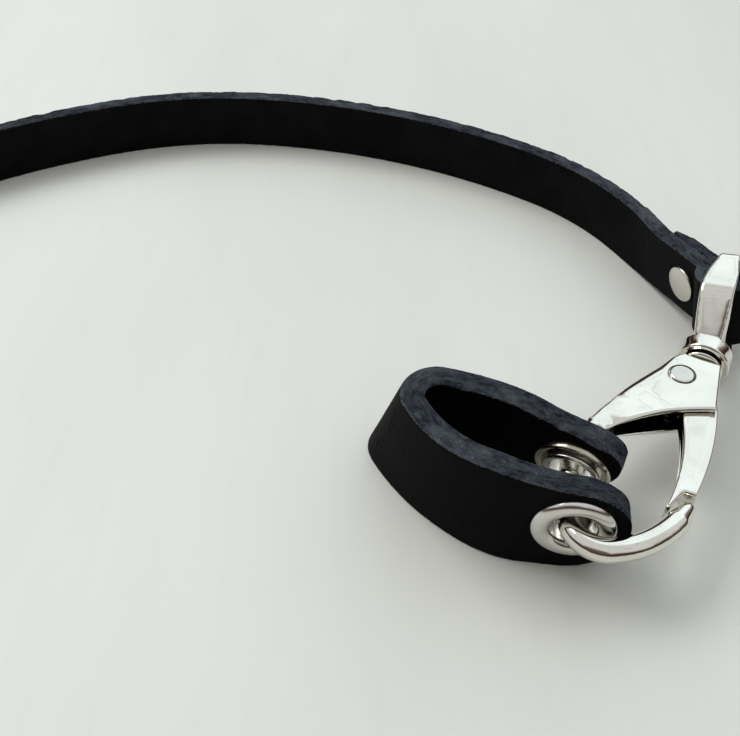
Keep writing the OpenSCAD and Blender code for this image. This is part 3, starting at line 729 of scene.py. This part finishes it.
# How far the leather's foot stands out from its head at the fold, and which way
LEAN, LEAN_WAY = 6.8, ways(126)[0]

# Eyelet: its bore and wall, its flange and the lip it is rolled to
EYELET_BORE, EYELET_WALL, FLANGE_R, FLANGE_H, LIP_H = 2.7, 0.35, 5.0, 0.9, 0.9

# The washer's section: radius, and height off the leather, with a ring raised under the lip
WASHER_RING = [
    (3.28, 0.0), (3.28, 0.8), (3.55, 0.79), (3.72, 0.62), (3.86, 0.46), (4.10, 0.43), (4.24, 0.52),
    (4.38, 0.74), (4.52, 0.78), (4.68, 0.70), (4.80, 0.40), (4.80, 0.02), (3.28, 0.0),
]


def guard_path():
    h = math.radians(NEAR_HEADING)
    return Path(NEAR_AT[0] - GUARD_END * math.cos(h), NEAR_AT[1] - GUARD_END * math.sin(h),
                NEAR_HEADING, GUARD_RUNS)


def guard_lean(path, s):
    """How far the leather leans out per millimetre of its height, most from the fold on."""
    flat = GUARD_END + EYELET_FLAT
    fold = path.starts[FOLD_RUN][0] + GUARD_RUNS[FOLD_RUN][0] / 2
    return LEAN / GUARD_W * ease((s - flat) / (fold - flat))


def far_eyelet_place(path):
    """The far eyelet's middle, and its axis square to the leaning leg."""
    x, y, heading, _ = path.at(path.length - GUARD_FAR_END)
    _, left = ways(heading)
    tilt = math.atan(guard_lean(path, path.length) * LEAN_WAY.dot(left))
    return Vector((x, y, MID_Z)), left * math.cos(tilt) + Vector((0, 0, math.sin(tilt)))


def protector_station(path, s):
    x, y, heading, bend = path.at(s)
    _, left = ways(heading)
    lean = guard_lean(path, s)
    u = max(0, GUARD_NOSE - s, s - (path.length - GUARD_NOSE))
    half = GUARD_TIP + math.sqrt(max(0, GUARD_NOSE * GUARD_NOSE - u * u))
    full = 1 - ease((min(s, path.length - s) - GUARD_END) / TAPER_L)
    high = half * (1 - (GUARD_W - GUARD_END_W) / (GUARD_W / 2) * full)
    up = Vector((-LEAN_WAY.x * lean, -LEAN_WAY.y * lean, 1))
    side = left * math.sqrt(1 + (lean * LEAN_WAY.dot(left)) ** 2)
    return Station(s, Vector((x, y, MID_Z)), up, side, GUARD_T, half, high,
                   creasing(bend, 12, 0.9))


def protector_chips(s):
    """How far the cut has crumbled on the inner rim, most of it on the far leg."""
    share = 0.15 + 0.85 * ease((s - 38) / 8)
    spot = Vector((s * 0.62, 4.7, 2.1))
    return share * max(0.0, noise.fractal(spot, 0.9, 2.2, 4) * 0.75 + 0.10)


def make_protector():
    """The folded leather with its two eyelet holes; gives the place and axis of each hole."""
    path = guard_path()
    marks = nosed(path.length, GUARD_NOSE, steps_of(GUARD_CUTS), NOSE_STEPS)
    piece = flat_strip("protector", path.length, GUARD_W, GUARD_T, GUARD_CORNER, GUARD_CUTS,
                       GUARD_ROWS)
    lay_strip(piece, [protector_station(path, s) for s in marks], GUARD_W, GUARD_T,
              GUARD_CORNER, GUARD_FRAY, protector_chips)
    near = Vector((*NEAR_AT, MID_Z)), ways(NEAR_HEADING)[1]
    far = far_eyelet_place(path)
    for at, way in (near, far):
        cut_away(piece, disc(at, way, EYELET_HOLE_R, 3 * GUARD_T))
    dress(piece, GUARD_LEATHER, "guard", ["protector_leather"])
    return near, far


def make_eyelet(tag, at, way):
    """A domed flange outside, a barrel through the leather, and a lip rolled over the washer."""
    seat, bore, barrel = GUARD_T / 2, EYELET_BORE, EYELET_BORE + EYELET_WALL
    middle, half, dome_steps = (bore + FLANGE_R) / 2, (FLANGE_R - bore) / 2, 16
    profile = [(bore, -seat - LIP_H), (bore, -seat), (bore, seat)]
    for k in range(1, dome_steps):
        a = math.radians(180 - 180 * k / dome_steps)
        profile.append((middle + half * math.cos(a), seat + FLANGE_H * math.sin(a) ** 0.85))
    profile += [(FLANGE_R - 0.02, seat + 0.02), (3.4, seat + 0.02), (barrel, seat - 0.02)]
    profile += [(barrel, -seat - 0.8)]
    profile += arc((barrel + 0.24, -seat - 1.06), 0.24, 90, -60, 6)
    profile += arc((bore + 0.32, -seat - 1.0), 0.33, -70, -180, 5)
    profile += [(bore, -seat - LIP_H)]
    piece = turned(f"{tag}_eyelet_shell", profile, at, way)
    dress(piece, SATIN, "guard", [f"{tag}_eyelet"])
    piece = turned(f"{tag}_washer_ring", [(r, -seat - up) for r, up in WASHER_RING], at, way)
    dress(piece, WASHER, "guard", [f"{tag}_washer"])


# Strap

STRAP_W, STRAP_T, TAIL_T, TAIL_L = 10, 2.6, 1.4, 9
STRAP_CORNER, STRAP_FRAY = 0.25, 0.11
STRAP_CUTS, STRAP_ROWS, FOLD_STEPS = (49, 8), (18, 7), 120

# The turn round the eye's bar: the bar's place, the leather's radius inside and at its middle, and
# the small radius at which it eases out again
BAR_AT = CLASP_AT + AHEAD * 14.8
TURN_R, EASE_R = 1.95, 1.4
TURN_MID = TURN_R + STRAP_T / 2
PLY_GAP, SKIVE_T = 0.04, 0.6
RIVET_X, CAP_D, CAP_H, POST_R = 6.95, 5.6, 0.9, 1.19

# The free strap: its way out of the fold, its runs, its rounded end, and how soon it settles on
# the floor, stands upright and lies smooth
STRAP_HEADING = 110.4
FREE_RUNS = [(2.8, -3.7), (28.4, 37.4), (55.4, 30.5), (28.1, 25), (44, 23), (24, 0)]
END_R, END_FLAT = STRAP_W / 2 - 0.6, 1.2
SETTLE_MOST, SETTLE_LEVEL, ROLL_L = 60, 40, 10
CREASED_AT, CREASED_L = 18, 26
SLOT_L, SLOT_R, SLOT_BACK = 9, 0.8, 3

# A rivet cap's crown as shares of the cap's radius and height
CROWN = [(0.8, 0.72), (0.6, 0.86), (0.3, 0.97), (0, 1)]


def ease_reach(offset):
    """How far from the bar a layer ends its ease, if its middle lies offset from the strap's."""
    return math.sqrt((TURN_MID + EASE_R) ** 2 - (offset + EASE_R) ** 2)


TAIL_X, FRONT_X = ease_reach(TAIL_T / 2), ease_reach(STRAP_T / 2)
TAIL_A = math.degrees(math.atan2(TAIL_X, TAIL_T / 2 + EASE_R))
FRONT_A = math.degrees(math.atan2(FRONT_X, STRAP_T / 2 + EASE_R))


def turned_with_eye(vector):
    """A vector turned about the swivel's axis with the eye."""
    t = math.radians(EYE_TURN)
    p, z = vector.dot(ACROSS), vector.z
    return (ACROSS * (p * math.cos(t) - z * math.sin(t)) + AHEAD * vector.dot(AHEAD)
            + Vector((0, 0, p * math.sin(t) + z * math.cos(t))))


def point_with_eye(point):
    return CLASP_AT + turned_with_eye(Vector(point) - CLASP_AT)


def fold_path():
    """From the pared tail's end, round the bar, and back past the rivet."""
    along, left = ways(STRAP_HEADING)
    start = BAR_AT + along * (TAIL_X + TAIL_L) - left * (TAIL_T / 2)
    turn = 180 + TAIL_A + FRONT_A
    flat = max(CAP_D / 2, TAIL_X + TAIL_L - RIVET_X) + 0.4
    runs = [
        (TAIL_L, 0),
        (EASE_R * math.radians(TAIL_A), TAIL_A),
        (TURN_MID * math.radians(turn), -turn),
        (EASE_R * math.radians(FRONT_A), FRONT_A),
        (RIVET_X - FRONT_X + flat, 0),
    ]
    return Path(start.x, start.y, STRAP_HEADING + 180, runs)


def fold_thickness(s):
    if s < TAIL_L:
        return SKIVE_T + (TAIL_T - SKIVE_T) * min(1, s / (TAIL_L - CAP_D))
    return TAIL_T + (STRAP_T - TAIL_T) * ease((s - TAIL_L) / (EASE_R * math.radians(TAIL_A) + 4))


def fold_station(fold, s):
    x, y, heading, bend = fold.at(s)
    _, left = ways(heading)
    thick = fold_thickness(s)
    shift = (thick - TAIL_T) / 2 if s < TAIL_L else 0 if s < TAIL_L + TURN_MID else PLY_GAP / 2
    return Station(s, point_with_eye(Vector((x, y, MID_Z)) + left * shift), turned_with_eye(UP),
                   turned_with_eye(left), thick, STRAP_W / 2, STRAP_W / 2,
                   creasing(bend, 10, 0.8))


def upright(way):
    """The direction that stands most upright on a strip that runs along way."""
    way = way.normalized()
    return (UP - way * way.z).normalized()


class Settling:
    """The height of the free strap's middle, which comes down until its edge rests on the floor."""

    def __init__(self, start_z, slope):
        self.slope = slope
        self.drop = start_z - STRAP_W / 2
        self.length = SETTLE_LEVEL
        if slope < -0.01:
            self.length = min(SETTLE_MOST, 2 * self.drop / -slope)

    def height(self, s):
        t = min(1, s / self.length)
        return (STRAP_W / 2 + self.drop * (1 - t) ** 2 * (1 + 2 * t)
                + self.slope * self.length * t * (1 - t) ** 2)

    def climb(self, s):
        return (self.height(s + 0.05) - self.height(max(0, s - 0.05))) / 0.1


def free_station(free, settling, roll, fold_length, s):
    """A station of the free strap, which rolls upright over its first stretch."""
    x, y, heading, _ = free.at(s)
    along, _ = ways(heading)
    up = upright(Vector((along.x, along.y, settling.climb(s))))
    side = up.cross(along).normalized()
    r = roll * (1 - ease(s / ROLL_L))
    u = max(0, s - (free.length - END_R))
    half = (END_FLAT / 2
            + (STRAP_W - END_FLAT) / 2 / END_R * math.sqrt(max(0, END_R ** 2 - u * u)))
    creased = 0.22 + 0.6 * ease(1 - abs(s - CREASED_AT) / CREASED_L)
    return Station(s + fold_length, Vector((x, y, settling.height(s))),
                   up * math.cos(r) + side * math.sin(r), side * math.cos(r) - up * math.sin(r),
                   STRAP_T, half, half, creased)


def strap_chips(s):
    return 0.3 * max(0.0, noise.fractal(Vector((s * 0.5, 1.3, 8.2)), 0.9, 2.2, 4))


def make_strap():
    """The strap in one piece: the pared tail, the turn round the bar, and the free length."""
    fold = fold_path()
    stations = [fold_station(fold, fold.length * k / FOLD_STEPS) for k in range(FOLD_STEPS)]
    x, y, heading, _ = fold.at(fold.length)
    leave = point_with_eye((x, y, MID_Z))
    way = turned_with_eye(ways(heading)[0])
    settling = Settling(leave.z, way.z / math.hypot(way.x, way.y))
    start_up = upright(way)
    start_side = start_up.cross(way.normalized())
    eye_up = turned_with_eye(UP)
    roll = math.atan2(eye_up.dot(start_side), eye_up.dot(start_up))
    free = Path(leave.x, leave.y, math.degrees(math.atan2(way.y, way.x)), FREE_RUNS)
    free_steps = steps_of(STRAP_CUTS) - FOLD_STEPS
    for s in nosed(free.length, END_R, free_steps, NOSE_STEPS, both=False):
        stations.append(free_station(free, settling, roll, fold.length, s))
    piece = flat_strip("strap_leather", fold.length + free.length, STRAP_W, STRAP_T, STRAP_CORNER,
                       STRAP_CUTS, STRAP_ROWS)
    lay_strip(piece, stations, STRAP_W, STRAP_T, STRAP_CORNER, STRAP_FRAY, strap_chips)
    cut_slot(piece, free)
    dress(piece, STRAP_LEATHER, "strap_body", ["strap"])


def cut_slot(piece, free):
    """The button slot near the strap's end: a long hole with round ends."""
    x, y, heading, _ = free.at(free.length)
    h = math.radians(heading)
    back = END_R + SLOT_BACK + SLOT_L / 2
    bpy.ops.object.select_all(action="DESELECT")
    bpy.ops.mesh.primitive_cylinder_add(vertices=40, radius=SLOT_R * MM, depth=7 * MM)
    cutter = bpy.context.active_object
    for v in cutter.data.vertices:
        if abs(v.co.x) > 1e-7:
            v.co.x += math.copysign((SLOT_L / 2 - SLOT_R) * MM, v.co.x)
    at = place((x - back * math.cos(h), y - back * math.sin(h), STRAP_W / 2))
    turn = Matrix.Rotation(h, 4, "Z") @ Matrix.Rotation(math.radians(90), 4, "X")
    cutter.data.transform(Matrix.Translation(at) @ turn)
    cut_away(piece, cutter)


def rivet_crown(base, way):
    """A rivet cap's outline from under its rim to its middle, upward or, if way is -1, downward."""
    r = CAP_D / 2
    outline = [(r - 0.1, base), (r, base + way * 0.12), (r, base + way * 0.3)]
    outline += arc((r - 0.22, base + way * 0.32), 0.22, way * 10, way * 70, 4)
    return outline + [(r * out, base + way * CAP_H * up) for out, up in CROWN]


def make_strap_rivet():
    """Two low caps on one post through the two layers of the strap."""
    along, left = ways(STRAP_HEADING)
    at = point_with_eye(BAR_AT + along * RIVET_X)
    way = turned_with_eye(left)
    low, tall = -TAIL_T, STRAP_T + PLY_GAP / 2
    piece = turned("strap_rivet_cap", [(0, tall)] + rivet_crown(tall, 1), at, way)
    dress(piece, CAP, "strap_body", ["rivet_cap"])
    post = [(0, tall - 0.05), (POST_R, tall - 0.05), (POST_R, low)]
    piece = turned("strap_rivet_post", post + rivet_crown(low, -1), at, way)
    dress(piece, CAP, "strap_body", ["rivet_post"])


# Hook

# Half the thickness of the body's cheeks, and of its round arm and the gate
BODY_HALF, ARM_HALF = 2.4, 1.5
PIVOT_AT = CLASP_AT + ACROSS * -1.75 + AHEAD * -6.1
SEAT_R, SEAT_Z = 1.8, 3.12

# The body's long flank: its start and its way, across and ahead of the end face, and its length
FLANK_AT, FLANK_WAY, FLANK_L = (-3.7, -3.1), (-0.4225, -0.9064), 16.45

# How far in and down a rim is rounded: eased everywhere, and more on the flank and on the arm
EASED, FLANK_IN, FLANK_DOWN, ARM_ROLL = 0.45, 1.65, 0.65, 0.95
GATE_ROLL = (0.45, 0.35)
CAST_VOXEL, GATE_VOXEL, EYE_VOXEL = 0.13, 0.11, 0.12

# Where the cast eye gives way to its turned collar, ahead of the body's end face
EYE_CUT = 2.2

# The turned collar and stem: radius, and distance ahead of the body's end face
COLLAR = [
    (0, -4.1), (1.45, -4.1), (1.6, -3.98), (1.6, -3.68), (1.3, -3.66), (1.3, -1.65), (2.66, -1.65),
    *arc((2.72, -1.47), 0.18, -60, 60, 5),
    (2.7, -1.12), (2.1, -1.05), (2.1, -0.72), (3.3, -0.70),
    *arc((3.36, -0.46), 0.24, -70, 10, 5),
    (3.56, 0.0), (3.52, 0.6), (3.56, 1.2),
    *arc((3.36, 1.66), 0.24, -10, 80, 5),
    (2.6, 1.9), (2.25, 2.05), (1.95, 2.5), (1.75, 3.2), (1.6, 4.0), (0, 4.1),
]


def in_clasp(co):
    """How far a mesh point lies across and ahead of the clasp's end face, and above its middle."""
    d = co / MM + PLAN_ORIGIN - CLASP_AT
    return d.dot(ACROSS), d.dot(AHEAD), d.z


def along_arm(co):
    """How far a mesh point lies along the body's long flank, and outside it."""
    u, w, _ = in_clasp(co)
    u, w = u - FLANK_AT[0], w - FLANK_AT[1]
    return u * FLANK_WAY[0] + w * FLANK_WAY[1], u * FLANK_WAY[1] - w * FLANK_WAY[0]


def body_top(co):
    """Half the body's thickness, which tapers along the flank to that of the round arm."""
    along, _ = along_arm(co)
    return BODY_HALF - (BODY_HALF - ARM_HALF) * ease((along - 7.5) / (FLANK_L - 8.0))


def body_rim(co):
    """The flank and the arm are rolled round, and the cheek's other edges are only eased."""
    along, out = along_arm(co)
    flank = ease(out + 3.2) * ease((along + 1) / 4) * (1 - ease((along - 12) / 3))
    arm = ease((along - 12.5) / 3) * ARM_ROLL
    return EASED + FLANK_IN * flank + arm, EASED + FLANK_DOWN * flank + arm


def thin_to_arm(piece):
    """Scale the body's heights down along the flank, and keep the round arm's where it starts."""
    for v in piece.data.vertices:
        along, _ = along_arm(v.co)
        if -1 < along < FLANK_L + 0.4:
            rise = abs(v.co.z / MM - MID_Z)
            kept = rise * body_top(v.co) / BODY_HALF
            if along > FLANK_L - 0.6:
                kept = max(kept, min(rise, ARM_HALF))
            v.co.z = (MID_Z + math.copysign(kept, v.co.z / MM - MID_Z)) * MM


def melt_into_arm(piece):
    """Smooth only the stretch where the flank runs into the arm."""
    group = piece.vertex_groups.new(name="arm")
    for v in piece.data.vertices:
        along, _ = along_arm(v.co)
        share = ease((along - 10) / 4) * ease((FLANK_L + 3.5 - along) / 2.5)
        if share > 0.01:
            group.add([v.index], share, "REPLACE")
    smooth(piece, 40, "arm")
    piece.vertex_groups.clear()


def painted_shade_of(v):
    """Painted shade, black in the groove round a pivot head and in the channel, fading out
    towards the arm.
    """
    u, w, rise = in_clasp(v.co)
    along, out = along_arm(v.co)
    from_pivot = (v.co / MM + PLAN_ORIGIN - PIVOT_AT).xy.length
    if abs(from_pivot - SEAT_R) < 0.04 and abs(rise) < BODY_HALF - 0.1:
        return 0.8
    outward = v.normal.dot(ACROSS) * FLANK_WAY[1] - v.normal.dot(AHEAD) * FLANK_WAY[0]
    inside = out < -0.6 and outward < 0.3 and u < 3.3 and w < -1.5
    under_cheek = abs(rise) < body_top(v.co) * 0.68
    faces_in = abs(v.normal.z) < 0.5 or rise * v.normal.z < 0
    return ease((FLANK_L + 1 - along) / 2) if inside and under_cheek and faces_in else 0.0


def make_body():
    """The hook's body: cheeks that thin down into the arm, and a seat round each pivot head."""
    piece = copy_of_solid("hook_body", "hook_casting")
    remesh(piece, CAST_VOXEL)
    thin_to_arm(piece)
    remesh(piece, CAST_VOXEL)
    soften_rims(piece, body_top, body_rim)
    smooth(piece, 8)
    melt_into_arm(piece)
    for side in (1, -1):
        cut_away(piece, disc(PIVOT_AT + UP * (side * SEAT_Z), UP, SEAT_R, 2))
    # Painted shade: black in the pivot grooves and the channel, kept in an attribute for the metal
    tarnish = piece.data.attributes.new("tarnish", "FLOAT", "POINT")
    for v in piece.data.vertices:
        tarnish.data[v.index].value = painted_shade_of(v)
    activate(piece)
    bpy.ops.object.shade_smooth_by_angle(angle=CAST_CREASE)
    dress(piece, POLISHED, "hook", ["hook_body"])


def make_gate():
    """The gate's folded channel, with all its edges eased."""
    piece = copy_of_solid("gate", "gate_casting")
    remesh(piece, GATE_VOXEL)
    soften_rims(piece, lambda co: ARM_HALF, lambda co: GATE_ROLL)
    smooth(piece, 8)
    dress(piece, POLISHED, "gate_body", ["gate"])


def make_eye():
    """The eye's band is cast and polished soft; its collar and stem are turned."""
    piece = copy_of_solid("swivel_eye", "eye_casting")
    in_edit_mode(piece, lambda: bpy.ops.mesh.bisect(
        plane_co=place(CLASP_AT + AHEAD * EYE_CUT), plane_no=AHEAD, use_fill=True,
        clear_inner=True))
    remesh(piece, EYE_VOXEL)
    smooth(piece, 60)
    dress(piece, POLISHED, "eye_body", ["swivel_eye"])
    collar = turned("swivel_collar", COLLAR, CLASP_AT, AHEAD)
    dress(collar, POLISHED, "eye_body", ["swivel_eye"])


def make_pivot():
    """The pin with a low crowned head in the seat of each cheek."""
    top = BODY_HALF
    head = [(0, top + 0.05), (0.5, top + 0.06), (1.0, top + 0.10), (1.22, top + 0.12)]
    head += arc((1.32, top - 0.14), 0.26, 75, -10, 5)
    head += [(1.56, top - 0.40), (0.95, top - 0.42)]
    piece = turned("pivot_pin", head + [(r, -z) for r, z in reversed(head)], PIVOT_AT, UP)
    dress(piece, PEENED, "hook", ["pivot_rivet"])


def make_spring():
    """The wound spring, its wire rounded."""
    piece = copy_of_solid("gate_spring", "spring_wire")
    apply_modifier(piece, "SUBSURF", {"levels": 2, "render_levels": 2})
    activate(piece)
    bpy.ops.object.shade_smooth()
    dress(piece, STEEL, "hook", ["gate_spring"])


def make_floor():
    bpy.ops.object.select_all(action="DESELECT")
    bpy.ops.mesh.primitive_plane_add(size=6)
    floor = bpy.context.active_object
    floor.name = "floor"
    floor.data.materials.append(pale_floor("pale floor"))


make_body()
make_gate()
make_eye()
near_eyelet, far_eyelet = make_protector()
make_eyelet("near", *near_eyelet)
make_eyelet("far", *far_eyelet)
make_strap()
make_strap_rivet()
make_pivot()
make_spring()
make_floor()
